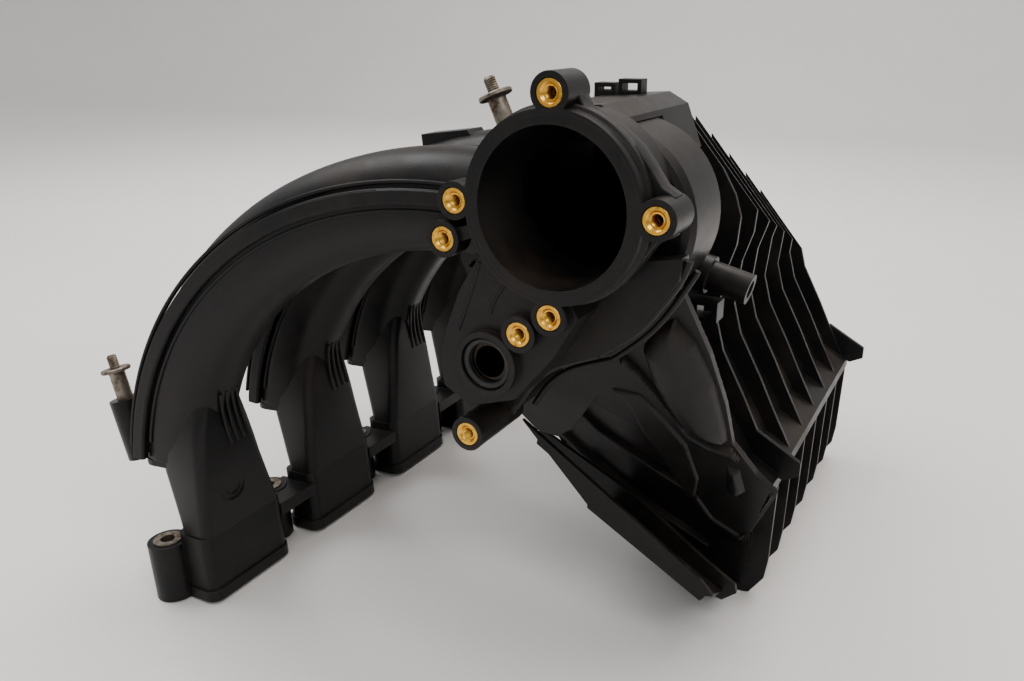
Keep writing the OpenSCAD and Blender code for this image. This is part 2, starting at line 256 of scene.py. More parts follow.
@dataclass(frozen=True)
class Metal:
    """A metal finish with a tarnish that comes in patches over it."""

    name: str
    bright: str
    tarnish: str
    tarnish_share: float
    metallic: float
    gloss_low: float
    gloss_high: float
    patch_scale: float
    scratch_mm: float = 0.5  # turning marks, drawn about five times as coarse as real so that they show

    def build(self) -> bpy.types.Material:
        """Builds the finish.

        Returns:
            The material.
        """
        material, tree, place = start_material(self.name)
        cloud = add_node(
            tree, "ShaderNodeTexNoise", values={"Scale": self.patch_scale, "Detail": 5.0, "Roughness": 0.6},
            links={"Vector": place}
        )
        fine = add_node(
            tree, "ShaderNodeTexNoise", values={"Scale": 1000.0 / self.scratch_mm, "Detail": 3.0},
            links={"Vector": place}
        )
        share = ramp(tree, cloud.outputs["Fac"], 0.75 - self.tarnish_share, 1.0 - self.tarnish_share * 0.6)
        colour = add_node(
            tree, "ShaderNodeMix", {"data_type": "RGBA"}, {6: linear(self.bright), 7: linear(self.tarnish)},
            {0: share}
        )
        rough = add_node(
            tree,
            "ShaderNodeMapRange",
            {"clamp": True},
            {"From Min": 0.0, "From Max": 1.0, "To Min": self.gloss_low, "To Max": self.gloss_high},
            {"Value": share},
        )
        bump = add_node(
            tree, "ShaderNodeBump", values={"Strength": 0.2, "Distance": 0.0002},
            links={"Height": fine.outputs["Fac"]}
        )
        shader = add_node(
            tree,
            "ShaderNodeBsdfPrincipled",
            values={"Metallic": self.metallic},
            links={
                "Base Color": colour.outputs[2], "Roughness": rough.outputs["Result"],
                "Normal": bump.outputs["Normal"]
            },
        )
        add_node(tree, "ShaderNodeOutputMaterial", links={"Surface": shader.outputs["BSDF"]})
        return material


@dataclass(frozen=True)
class MouldedRubber:
    """Silicone or nitrile rubber, moulded: dull, dark, a little grey where dust sits."""

    name: str = "moulded_rubber"
    clean: str = "#17171a"
    dust: str = "#3a3733"

    def build(self) -> bpy.types.Material:
        """Builds the finish.

        Returns:
            The material.
        """
        material, tree, place = start_material(self.name)
        cloud = add_node(tree, "ShaderNodeTexNoise", values={"Scale": 180.0, "Detail": 5.0}, links={"Vector": place})
        share = ramp(tree, cloud.outputs["Fac"], 0.45, 0.8)
        colour = add_node(
            tree, "ShaderNodeMix", {"data_type": "RGBA"}, {6: linear(self.clean), 7: linear(self.dust)}, {0: share}
        )
        bump = add_node(
            tree, "ShaderNodeBump", values={"Strength": 0.15, "Distance": 0.0003},
            links={"Height": cloud.outputs["Fac"]}
        )
        shader = add_node(
            tree,
            "ShaderNodeBsdfPrincipled",
            values={"Roughness": 0.62, "IOR": 1.5},
            links={"Base Color": colour.outputs[2], "Normal": bump.outputs["Normal"]},
        )
        add_node(tree, "ShaderNodeOutputMaterial", links={"Surface": shader.outputs["BSDF"]})
        return material


class Paintbox:
    """All finishes of the manifold, built once."""

    def __init__(self) -> None:
        """Builds one material for each slot."""
        self.materials: dict[Slot, bpy.types.Material] = {
            Slot.BODY: MouldedNylon().build(),
            Slot.BRASS: Metal("machined_brass", "#e0ab45", "#7d561f", 0.30, 1.0, 0.24, 0.5, 420.0).build(),
            Slot.STEEL: Metal("zinc_plated_steel", "#8d877d", "#5b4836", 0.45, 0.9, 0.38, 0.7, 260.0).build(),
            Slot.SLEEVE: Metal("phosphated_steel", "#2b2622", "#1a1613", 0.4, 0.8, 0.16, 0.34, 200.0).build(),
            Slot.SEAL: MouldedRubber().build(),
        }

    def dress(self, piece: bpy.types.Object, slot: Slot) -> None:
        """Gives a piece its one finish.

        Args:
            piece: The mesh object.
            slot: The slot that names the finish.
        """
        piece.data.materials.clear()
        piece.data.materials.append(self.materials[slot])


# ---------------------------------------------------------------- bench work


class Bench:
    """Modelling moves that the sub-assemblies share, each made with operators."""

    def __init__(self, paints: Paintbox) -> None:
        """Takes the finishes.

        Args:
            paints: The finishes that finished pieces get.
        """
        self.paints = paints
        self.made: list[str] = []

    def clear(self) -> None:
        """Leaves edit mode and deselects everything."""
        if bpy.context.object is not None and bpy.context.object.mode != "OBJECT":
            bpy.ops.object.mode_set(mode="OBJECT")
        bpy.ops.object.select_all(action="DESELECT")

    def hold(self, piece: bpy.types.Object) -> None:
        """Makes a piece the only selected and active one.

        Args:
            piece: The object to work on.
        """
        self.clear()
        piece.select_set(True)
        bpy.context.view_layer.objects.active = piece

    def modify(self, piece: bpy.types.Object, kind: str, **settings: object) -> None:
        """Adds a modifier and applies it.

        Args:
            piece: The object to modify.
            kind: The modifier's type, such as BEVEL.
            settings: Its properties.
        """
        self.hold(piece)
        modifier = piece.modifiers.new(kind.lower(), kind)
        for name, value in settings.items():
            setattr(modifier, name, value)
        bpy.ops.object.modifier_apply(modifier=modifier.name)

    def outward(self, piece: bpy.types.Object) -> None:
        """Merges doubles and turns all faces outwards.

        Args:
            piece: The object to mend.
        """
        self.hold(piece)
        bpy.ops.object.mode_set(mode="EDIT")
        bpy.ops.mesh.select_all(action="SELECT")
        bpy.ops.mesh.remove_doubles(threshold=1e-6)
        bpy.ops.mesh.normals_make_consistent(inside=False)
        bpy.ops.object.mode_set(mode="OBJECT")

    def block(
        self, corners: Sequence[Vector], push: Vector, round_mm: float = 0.0, segments: int = 3
    ) -> bpy.types.Object:
        """A solid with a drawn outline.

        Args:
            corners: The outline's corners in order, in metres.
            push: How far and which way the outline is extruded, in metres.
            round_mm: Width of the bevel on its edges.
            segments: Segments of that bevel.

        Returns:
            The new object.
        """
        self.clear()
        bpy.ops.mesh.primitive_circle_add(vertices=len(corners), radius=0.01, fill_type="NGON")
        piece = bpy.context.object
        for vertex, corner in zip(piece.data.vertices, corners):
            vertex.co = corner
        bpy.ops.object.mode_set(mode="EDIT")
        bpy.ops.mesh.select_all(action="SELECT")
        bpy.ops.mesh.extrude_region_move(TRANSFORM_OT_translate={"value": push})
        bpy.ops.object.mode_set(mode="OBJECT")
        self.outward(piece)
        if round_mm > 0:
            self.modify(
                piece, "BEVEL", width=round_mm * 0.001, segments=segments, limit_method="ANGLE",
                angle_limit=math.radians(40)
            )
        return piece

    def bead(self, path: Sequence[Vector], radius_mm: float, resolution: int = 3) -> bpy.types.Object:
        """A rounded bead along a smooth path.

        Args:
            path: Points in metres.
            radius_mm: The bead's radius.
            resolution: Half its number of sides, less one.

        Returns:
            The closed bead.
        """
        self.clear()
        line = bpy.data.curves.new("bead", "CURVE")
        line.dimensions = "3D"
        spline = line.splines.new("NURBS")
        spline.points.add(len(path) - 1)
        for point, place in zip(spline.points, path):
            point.co = (*place, 1.0)
        spline.order_u = min(4, len(path))
        spline.use_endpoint_u = True
        spline.resolution_u = 8
        line.bevel_depth = radius_mm * 0.001
        line.bevel_resolution = resolution
        line.use_fill_caps = True
        piece = bpy.data.objects.new("bead", line)
        bpy.context.scene.collection.objects.link(piece)
        self.hold(piece)
        bpy.ops.object.convert(target="MESH")
        piece = bpy.context.object
        self.outward(piece)
        return piece

    def ring(self, centre: Vector, radius_mm: float, thick_mm: float) -> bpy.types.Object:
        """A thin raised ring that faces +X.

        Args:
            centre: Its centre in metres.
            radius_mm: Its radius.
            thick_mm: The radius of its round section.

        Returns:
            The ring.
        """
        self.clear()
        bpy.ops.mesh.primitive_torus_add(
            location=centre, rotation=(0, math.radians(90), 0), major_segments=48, minor_segments=8,
            major_radius=radius_mm * 0.001, minor_radius=thick_mm * 0.001,
        )
        return bpy.context.object

    def hollow_ends(
        self, piece: bpy.types.Object, is_end: Callable[[bpy.types.MeshPolygon], bool], wall_mm: float
    ) -> None:
        """Opens the ends of a closed tube and gives its skin a wall.

        Args:
            piece: The closed tube.
            is_end: Tells an end face.
            wall_mm: The wall's thickness, inwards.
        """
        self.hold(piece)
        bpy.ops.object.mode_set(mode="EDIT")
        bpy.ops.mesh.select_mode(type="FACE")
        bpy.ops.mesh.select_all(action="DESELECT")
        bpy.ops.object.mode_set(mode="OBJECT")
        for polygon in piece.data.polygons:
            polygon.select = is_end(polygon)
        bpy.ops.object.mode_set(mode="EDIT")
        bpy.ops.mesh.delete(type="FACE")
        bpy.ops.mesh.select_all(action="SELECT")
        bpy.ops.mesh.normals_make_consistent(inside=False)
        bpy.ops.object.mode_set(mode="OBJECT")
        self.modify(piece, "SOLIDIFY", thickness=wall_mm * 0.001, offset=-1.0)

    def hand_over(
        self, piece: bpy.types.Object, name: str, slot: Slot, replaces: Iterable[str] = (), angle: float = 35.0
    ) -> bpy.types.Object:
        """Finishes a piece: name, place, shading, finish and ride.

        Args:
            piece: The object.
            name: Its name.
            slot: The slot of its finish.
            replaces: The CAD nodes that it stands for.
            angle: The edge angle in degrees past which shading stays sharp.

        Returns:
            The same object.
        """
        self.hold(piece)
        bpy.ops.object.transform_apply(location=True, rotation=True, scale=True)
        bpy.ops.object.shade_smooth_by_angle(angle=math.radians(angle))
        piece.name = name
        piece.data.name = name
        self.paints.dress(piece, slot)
        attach(piece, "root")
        if replaces:
            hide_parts(*replaces)
        self.made.append(name)
        log.info("piece %s: %d faces, %s", name, len(piece.data.polygons), slot.value)
        return piece


# ---------------------------------------------------------------- CAD nodes that stay


@dataclass
class CarriedNodes:
    """The CAD nodes whose shape is right: they only get their finishes."""

    bench: Bench

    def build(self) -> None:
        """Dresses every CAD node with the finish of its record slot."""
        wanted: dict[str, str] = {}
        for part in frame["record"].get("subparts", []):
            wanted[part.get("node", "")] = part.get("material_slot", part.get("material", ""))
        known = {slot.value for slot in Slot}
        for name, node in frame["nodes"].items():
            slot = Slot(wanted[name]) if wanted.get(name) in known else Slot.BODY
            self.bench.paints.dress(node, slot)
            log.info("node %s: %s", name, slot.value)


# ---------------------------------------------------------------- sub-assemblies


def polygon_depth(point: tuple[float, float], corners: Sequence[tuple[float, float]]) -> float:
    """How far a point lies inside a drawn outline.

    Args:
        point: The point.
        corners: The outline's corners in order.

    Returns:
        The distance to the outline, positive inside and negative outside.
    """
    x, y = point
    inside, nearest = False, 1e9
    for (ax, ay), (bx, by) in zip(corners, [*corners[1:], corners[0]]):
        if (ay > y) != (by > y) and x < (bx - ax) * (y - ay) / (by - ay) + ax:
            inside = not inside
        length = (bx - ax) ** 2 + (by - ay) ** 2
        share = max(0.0, min(1.0, ((x - ax) * (bx - ax) + (y - ay) * (by - ay)) / length))
        nearest = min(nearest, math.hypot(x - ax - share * (bx - ax), y - ay - share * (by - ay)))
    return nearest if inside else -nearest


def soft_step(value: float, width: float) -> float:
    """A smooth rise from 0 at 0 to 1 at the width.

    Args:
        value: The value.
        width: Where the rise ends.

    Returns:
        A share from 0 to 1.
    """
    share = max(0.0, min(1.0, value / width))
    return share * share * (3 - 2 * share)


@dataclass(frozen=True)
class Swell:
    """One raised field of the front wall: its outline across and down the slope, height and width of its flank."""

    corners: tuple[tuple[float, float], ...]
    height: float
    flank: float
    domed: bool = False

    def rise(self, depth: float) -> float:
        """The field's height at a place.

        Args:
            depth: How far inside its outline the place is, in millimetres.

        Returns:
            The height in millimetres.
        """
        if not self.domed:
            return self.height * soft_step(depth, self.flank)
        share = max(0.0, min(1.0, depth / self.flank))
        return self.height * math.sqrt(1 - (1 - share) ** 2) * soft_step(depth, 3.0)


@dataclass
class FrontWall:
    """The slanted front wall's moulded relief: a blown bulge, a panel, two ridges and the lip of a pocket."""

    bench: Bench
    start: tuple[float, float, float] = (0.0, 45.0, -40.0)
    down: tuple[float, float, float] = (0.0, 0.4878, -0.8729)
    out: tuple[float, float, float] = (0.0, -0.8729, -0.4878)
    pitch: float = 1.1
    wall: float = 2.2
    outline: tuple[tuple[float, float], ...] = (
        (-66, 0), (45, 0), (53, 36), (57.5, 72), (58.5, 104), (69, 127), (79, 142), (68, 172), (57, 201),
        (43, 191), (27, 169), (15, 124), (-2, 86), (-13, 85), (-37, 123), (-49, 134), (-62, 132), (-73, 111),
    )
    swells: tuple[Swell, ...] = (
        Swell(
            (
                (18.8, 36.8), (28.7, 20.7), (39.2, 12.0), (49.0, 28.0), (55.5, 55.8), (58.0, 90.0), (57.8, 103.0),
                (44.2, 103.0), (34, 98.0), (25.9, 78.0), (20.6, 60.0)
            ),
            12.5, 17.0, True
        ),
        Swell(
            (
                (-6.6, 74), (12.8, 74), (21.9, 86), (35, 111.7), (38.3, 143.1), (33.9, 163.1), (28.7, 167.5),
                (19.5, 145.9), (9, 116.5), (2.2, 88)
            ),
            4.6, 3.0
        ),
        Swell(
            (
                (7.9, 42), (16.5, 53.1), (22.7, 64.4), (37.1, 96.6), (47, 103.4), (65, 105.5), (81.7, 128.4),
                (79.4, 134), (64.2, 117.3), (43.5, 111.7), (33.5, 104.8), (19, 71.8), (11.6, 57.5), (3.7, 50.4)
            ),
            7.0, 3.4
        ),
        Swell(((5, 0), (24, 0), (20, 22), (9, 36), (-2, 44), (-4, 20)), 3.4, 6.0),
        Swell(((-66, 0), (-6, 0), (-8, 60), (-14, 80), (-24, 92), (-46, 122), (-60, 124), (-69, 106)), 2.0, 4.0),
        Swell(((50.5, 120), (64, 122), (66, 146), (57, 159), (47.5, 148)), 6.0, 7.5),
        Swell(
            (
                (27, 169), (30, 160), (35, 160), (42.4, 180), (55.5, 190), (62, 183.5), (67, 163), (74.6, 137),
                (80, 142), (68, 174), (57, 202), (42, 193)
            ),
            4.6, 3.0
        ),
    )

    def height(self, across: float, slope: float) -> float:
        """The relief's height over the wall.

        Args:
            across: Millimetres across the wall.
            slope: Millimetres down its slope.

        Returns:
            The height in millimetres.
        """
        point = (across, slope)
        tall = max(s.rise(polygon_depth(point, s.corners)) for s in self.swells)
        edge = polygon_depth(point, self.outline)
        collar = 1.5 * soft_step(3.2 - edge, 1.4)
        return max(tall, collar) * soft_step(edge, 1.6) + 0.45 - 1.2 * (1 - soft_step(edge, 1.2))

    def build(self) -> None:
        """Builds the relief as one skin that sits in the wall."""
        wide, tall = 156.0, 204.0
        self.bench.clear()
        bpy.ops.mesh.primitive_grid_add(
            x_subdivisions=round(wide / self.pitch), y_subdivisions=round(tall / self.pitch), size=1.0
        )
        skin = bpy.context.object
        places = [((v.co.x + 0.5) * wide - 75.0, (v.co.y + 0.5) * tall - 1.0) for v in skin.data.vertices]
        keep = [polygon_depth(p, self.outline) > 0.0 for p in places]
        start, down, out = Vector(self.start), Vector(self.down), Vector(self.out)
        for vertex, (across, slope) in zip(skin.data.vertices, places):
            tall_here = self.height(across, slope) if polygon_depth((across, slope), self.outline) > -3.0 else 0.0
            vertex.co = (start + Vector((across, 0, 0)) + down * slope + out * tall_here) * 0.001
        self.bench.clear()
        skin.select_set(True)
        bpy.context.view_layer.objects.active = skin
        bpy.ops.object.mode_set(mode="EDIT")
        bpy.ops.mesh.select_mode(type="FACE")
        bpy.ops.object.mode_set(mode="OBJECT")
        for polygon in skin.data.polygons:
            polygon.select = not all(keep[v] for v in polygon.vertices)
        bpy.ops.object.mode_set(mode="EDIT")
        bpy.ops.mesh.delete(type="FACE")
        bpy.ops.mesh.select_all(action="SELECT")
        bpy.ops.mesh.delete_loose()
        bpy.ops.object.mode_set(mode="OBJECT")
        if skin.data.polygons[0].normal.dot(out) < 0:
            self.bench.hold(skin)
            bpy.ops.object.mode_set(mode="EDIT")
            bpy.ops.mesh.select_all(action="SELECT")
            bpy.ops.mesh.flip_normals()
            bpy.ops.object.mode_set(mode="OBJECT")
        self.bench.modify(skin, "SOLIDIFY", thickness=self.wall * 0.001, offset=-1.0)
        self.bench.hand_over(skin, "front_wall_relief", Slot.BODY, angle=50.0)


@dataclass(frozen=True)
class GapFins:
    """Edges of the two lower fins that cross the hollow under the front wall."""

    bench: Bench
    thick: float = 2.4
    depth: float = 9.0
    edges: tuple[tuple[tuple[float, float, float], ...], ...] = (
        (
            (-29.0, 92.9, -132.9), (-20.3, 99.6, -145.2), (-9.6, 104.6, -154.0), (11.9, 112.6, -169.6),
            (35.0, 120.0, -183.6)
        ),
        (
            (-46.0, 104.8, -154.2), (-35.3, 112.6, -169.4), (-22.1, 120.0, -183.2), (5.5, 133.6, -208.6),
            (35.5, 145.6, -230.4)
        ),
    )

    def build(self) -> None:
        """Builds one thin plate along each edge."""
        inward = Vector((0.0, 0.87, 0.49))
        for k, edge in enumerate(self.edges):
            near = [mm(*p) for p in edge]
            far = [p + inward * mm(self.depth, 0, 0).x for p in near]
            side = inward.cross(near[-1] - near[0]).normalized() * mm(self.thick, 0, 0).x
            fin = self.bench.block([*near, *reversed(far)], side, 0.7)
            self.bench.hand_over(fin, f"gap_fin_{k + 1}", Slot.BODY, angle=40.0)


@dataclass
class Runners:
    """The four arched runners: a smooth outer shell over each cap, and the bands and beads of its weld seam."""

    bench: Bench
    count: int = 4
    pitch: float = 91.0
    width: float = 44.0
    depth: float = 48.0
    corner: float = 19.0
    foot_of_arch: tuple[float, float, float] = (-236.0, 5.3, 0.0)
    slant: float = 9.0
    crown: tuple[float, float] = (173.0, -188.0)
    crown_r: float = 182.0
    seam: tuple[float, float] = (164.0, -192.0)
    seam_r: float = 190.4
    skin: float = 0.35
    wall_in: float = 2.4
    end_x: float = -71.0
    first_end_x: float = -41.0

    def placed(self, index: int) -> Matrix:
        """Where a runner's own frame stands.

        Args:
            index: The runner's number from 0.

        Returns:
            The matrix in metres.
        """
        x, y, z = self.foot_of_arch
        return Matrix.Translation(
            mm(x, y + index * self.pitch, z)
        ) @ Matrix.Rotation(math.radians(self.slant), 4, "Z")

    def section(self, grow: float, steps: int = 9) -> list[tuple[float, float]]:
        """The tube's rounded section.

        Args:
            grow: How much it stands out from the nominal size.
            steps: Points on each corner.

        Returns:
            Radial and sideways places in millimetres.
        """
        points = []
        half_r, half_w, corner = self.depth / 2 + grow, self.width / 2 + grow, self.corner + grow
        for quarter in range(4):
            sx, sy = (1 if quarter in (0, 3) else -1), (1 if quarter < 2 else -1)
            for k in range(steps + 1):
                a = math.radians(90 * (quarter + k / steps))
                points.append(
                    (sx * (half_r - corner) + corner * math.cos(a), sy * (half_w - corner) + corner * math.sin(a))
                )
        return points

    def swept(
        self, centre: tuple[float, float], points: Sequence[tuple[float, float]], first: float, last: float,
        steps: int
    ) -> bpy.types.Object:
        """A closed section swept round an arc in the runner's own plane.

        Args:
            centre: The arc's centre, along and up.
            points: The section, radial and sideways, in millimetres.
            first: The angle in degrees where it starts.
            last: The angle where it ends.
            steps: Steps along the arc.

        Returns:
            The closed solid, in the runner's own frame.
        """
        self.bench.clear()
        bpy.ops.mesh.primitive_circle_add(vertices=len(points), radius=0.01, fill_type="NGON")
        piece = bpy.context.object
        a = math.radians(first)
        for vertex, (radial, side) in zip(piece.data.vertices, points):
            vertex.co = mm(centre[0] + radial * math.cos(a), side, centre[1] + radial * math.sin(a))
        bpy.ops.object.mode_set(mode="EDIT")
        bpy.ops.mesh.select_all(action="SELECT")
        bpy.ops.mesh.spin(
            steps=steps, angle=math.radians(last - first), center=mm(centre[0], 0, centre[1]), axis=(0, 1, 0)
        )
        bpy.ops.object.mode_set(mode="OBJECT")
        return piece

    def cut(self, piece: bpy.types.Object, point: Vector, normal: Vector) -> None:
        """Cuts a piece at a plane, drops the far side and closes the cut.

        Args:
            piece: The piece.
            point: A point of the plane.
            normal: The plane's normal, towards the side that goes.
        """
        self.bench.hold(piece)
        bpy.ops.object.mode_set(mode="EDIT")
        bpy.ops.mesh.select_all(action="SELECT")
        bpy.ops.mesh.bisect(plane_co=point, plane_no=normal, use_fill=True, clear_outer=True)
        bpy.ops.object.mode_set(mode="OBJECT")

    def tube(self, index: int) -> None:
        """Builds one runner's outer shell.

        Args:
            index: The runner's number from 0.
        """
        points = [(self.crown_r + r, w) for r, w in self.section(self.skin)]
        piece = self.swept(self.crown, points, 177.5, 79.5, 72)
        self.bench.outward(piece)
        self.cut(piece, mm(0, 0, -166.2), Vector((0, 0, -1)))
        self.bench.hold(piece)
        piece.matrix_world = self.placed(index)
        bpy.ops.object.transform_apply(location=True, rotation=True, scale=True)
        self.cut(piece, mm(self.first_end_x if index == 0 else self.end_x, 0, 0), Vector((1, 0, 0)))
        self.bench.hollow_ends(piece, lambda f: f.area > 1.2e-3 and len(f.vertices) > 12, self.wall_in)
        self.bench.outward(piece)
        self.bench.hand_over(piece, f"runner_shell_{index + 1}", Slot.BODY, angle=40.0)

    def beads(self, index: int) -> None:
        """Builds the weld flange of one runner: a band along the seam and a thin bead on each side of it.

        Args:
            index: The runner's number from 0.
        """
        half = self.width / 2
        for side in (-1, 1):
            for name, centre_r, reach, tall, first, last in (
                ("weld_band", self.seam_r, 3.9, 3.3, 171.8, 84.0),
                ("weld_bead_out", self.seam_r + 6.6, 0.9, 1.15, 170.0, 84.0),
                ("weld_bead_in", self.seam_r - 6.8, 0.9, 1.15, 168.0, 84.0),
            ):
                base = half - 1.0 if name == "weld_band" else half - 1.4
                top = half + tall
                round_off = min(reach * 0.45, 1.1)
                points = [
                    (centre_r - reach, side * base), (
                        centre_r - reach, side * (top - round_off)
                    ), (centre_r - reach + round_off, side * top),
                    (centre_r + reach - round_off, side * top), (
                        centre_r + reach, side * (top - round_off)
                    ), (centre_r + reach, side * base),
                ]
                piece = self.swept(self.seam, points, first, last, 60)
                self.bench.outward(piece)
                piece.matrix_world = self.placed(index)
                self.bench.hold(piece)
                bpy.ops.object.transform_apply(location=True, rotation=True, scale=True)
                self.cut(piece, mm(self.first_end_x if index == 0 else self.end_x, 0, 0), Vector((1, 0, 0)))
                label = "front" if side < 0 else "back"
                self.bench.hand_over(piece, f"{name}_{label}_{index + 1}", Slot.BODY, angle=40.0)

    def build(self) -> None:
        """Builds all four runners."""
        for index in range(self.count):
            self.tube(index)
            self.beads(index)


@dataclass
class ThrottleFlange:
    """Details of the throttle flange: the stepped ring, the webs between the bosses and the moulded ridges below."""

    bench: Bench
    bore: float = 34.0
    ring: float = 40.5
    boss: float = 8.4
    upper_web: tuple[tuple[float, float], ...] = (
        (8.2, 45.5), (11.0, 40.2), (24.5, 33.2), (33.6, 26.0), (39.3, 18.6), (44.5, 11.2), (50.5, 7.6)
    )
    lower_web: tuple[tuple[float, float], ...] = (
        (50.0, -8.2), (44.0, -10.8), (41.2, -13.8), (37.4, -19.6), (31.2, -27.4), (23.4, -34.8), (13.2, -40.6),
        (5.5, -43.0)
    )

    def ring_profile(self) -> list[tuple[float, float]]:
        """The stepped rim round the bore.

        Returns:
            Radius and depth behind the flange face, in millimetres.
        """
        bore, ring = self.bore, self.ring
        return [
            (bore + 0.05, 6.0), (bore + 0.05, 0.75), (bore + 0.75, -0.02), (bore + 4.0, -0.02), (bore + 4.3, 0.35), (bore + 4.6, 0.35),
            (bore + 4.9, -0.02), (ring - 0.7, -0.02), (ring + 0.15, 0.9), (ring + 0.15, 5.6), (ring + 1.6, 6.6), (ring + 1.6, 11.6), (ring + 0.6, 14.2),
            (ring - 3.0, 14.2),
        ]

    def turned(self, profile: Sequence[tuple[float, float]], steps: int) -> bpy.types.Object:
        """A closed profile turned once round the bore's axis.

        Args:
            profile: Radius and depth in millimetres.
            steps: Steps round the axis.

        Returns:
            The closed solid.
        """
        self.bench.clear()
        bpy.ops.mesh.primitive_circle_add(vertices=len(profile), radius=0.01, fill_type="NOTHING")
        piece = bpy.context.object
        for vertex, (radius, depth) in zip(piece.data.vertices, profile):
            vertex.co = mm(radius, depth, 0)
        bpy.ops.object.mode_set(mode="EDIT")
        bpy.ops.mesh.select_all(action="SELECT")
        bpy.ops.mesh.spin(steps=steps, angle=math.tau, center=(0, 0, 0), axis=(0, 1, 0))
        bpy.ops.object.mode_set(mode="OBJECT")
        self.bench.outward(piece)
        return piece

    def web(self, edge: Sequence[tuple[float, float]], first: float, last: float) -> bpy.types.Object:
        """A crescent web between two bosses and the ring's neck.

        Args:
            edge: Its outer edge, across and up, in millimetres.
            first: The angle in degrees where the inner arc starts.
            last: The angle where it ends.

        Returns:
            The solid.
        """
        inner = [
            (
                36.6 * math.cos(math.radians(a)), 36.6 * math.sin(math.radians(a))
            ) for a in [first + (last - first) * k / 10 for k in range(11)]
        ]
        corners = [mm(x, 9.5, z) for x, z in [*edge, *inner]]
        return self.bench.block(corners, mm(0, 9.5, 0), 0.9, 3)

    def build(self) -> None:
        """Builds the ring, the webs and the ridges."""
        self.bench.hand_over(self.turned(self.ring_profile(), 96), "flange_rim", Slot.BODY, angle=30.0)
        self.bench.hand_over(self.web(self.upper_web, 4.0, 84.0), "flange_web_upper", Slot.BODY)
        self.bench.hand_over(self.web(self.lower_web, -86.0, -4.0), "flange_web_lower", Slot.BODY)
        for name, radius, path in (
            (
                "duct_ridge_low", 2.2,
                (
                    (11, 30, -70.2), (1, 31, -74.5), (-9, 32, -78.4), (-17, 32, -84), (-25, 32, -91),
                    (-31, 32, -102.5), (-37, 31, -110)
                )
            ),
            (
                "duct_ridge_high", 2.2,
                ((11, 30, -70.2), (21, 30, -63), (30, 30, -56), (39, 30, -43), (48, 30, -30), (50, 30, -22))
            ),
            (
                "duct_step", 1.5,
                ((13, 40, -76), (0, 41, -81), (-10, 42, -85.5), (-18, 42, -92), (-24, 42, -99), (-29, 42, -108))
            ),
            ("duct_step_high", 1.5, ((13, 40, -76), (24, 39, -67), (34, 38, -58), (44, 37, -43), (52, 37, -28))),
            ("plate_ridge", 0.9, ((-36, 4.3, -27), (-41, 4.3, -43), (-48, 4.3, -60))),
            ("plate_ridge_low", 0.9, ((-22, 4.3, -34), (-29, 4.3, -42), (-31, 4.3, -50))),
        ):
            self.bench.hand_over(self.bench.bead([mm(*p) for p in path], radius), name, Slot.BODY, angle=60.0)


@dataclass
class BrassInserts:
    """Threaded brass inserts: a countersunk mouth and ring threads inside."""

    bench: Bench
    outer: float = 6.0
    core: float = 2.5
    length: float = 10.0
    pitch: float = 1.0
    facets: int = 48
    places: dict[str, tuple[float, float, float]] = field(
        default_factory=lambda: {
            "insert_top": (0.0, 0.0, 46.0),
            "insert_right": (46.0, 0.0, 0.0),
            "insert_left": (-46.0, 0.0, 0.0),
            "insert_left_low": (-52.5, 0.0, -17.5),
            "insert_bottom": (0.0, 0.0, -46.0),
            "insert_bottom_left": (-15.0, 0.0, -56.0),
            "insert_standoff": (-42.7, 0.0, -110.0),
        }
    )

    def profile(self) -> list[tuple[float, float]]:
        """The turned profile, from the rim through the mouth to the threads.

        Returns:
            Radius and depth behind the face, in millimetres.
        """
        points = [
            (self.outer, self.length), (self.outer, 0.55), (self.outer - 0.5, 0.02), (self.core + 1.75, 0.02),
            (self.core + 1.55, 0.2), (self.core + 0.75, 1.15)
        ]
        depth = 1.3
        while depth < self.length - 1.2:
            points += [(self.core + 0.12, depth), (self.core + 0.62, depth + self.pitch / 2)]
            depth += self.pitch
        points += [(self.core + 0.12, self.length - 0.4), (self.core + 0.5, self.length)]
        return points

    def build(self) -> None:
        """Turns one insert and copies it to every place."""
        self.bench.clear()
        profile = self.profile()
        bpy.ops.mesh.primitive_circle_add(vertices=len(profile), radius=0.01, fill_type="NOTHING")
        first = bpy.context.object
        for vertex, (radius, depth) in zip(first.data.vertices, profile):
            vertex.co = mm(radius, depth, 0)
        bpy.ops.object.mode_set(mode="EDIT")
        bpy.ops.mesh.select_all(action="SELECT")
        bpy.ops.mesh.spin(steps=self.facets, angle=math.tau, center=(0, 0, 0), axis=(0, 1, 0))
        bpy.ops.object.mode_set(mode="OBJECT")
        self.bench.outward(first)
        for name, (x, y, z) in self.places.items():
            low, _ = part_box(name)
            piece = first.copy()
            piece.data = first.data.copy()
            bpy.context.scene.collection.objects.link(piece)
            piece.location = Vector((x * 0.001, low[1], z * 0.001))
            self.bench.hand_over(piece, f"brass_{name}", Slot.BRASS, [name], angle=25.0)
        bpy.data.objects.remove(first)


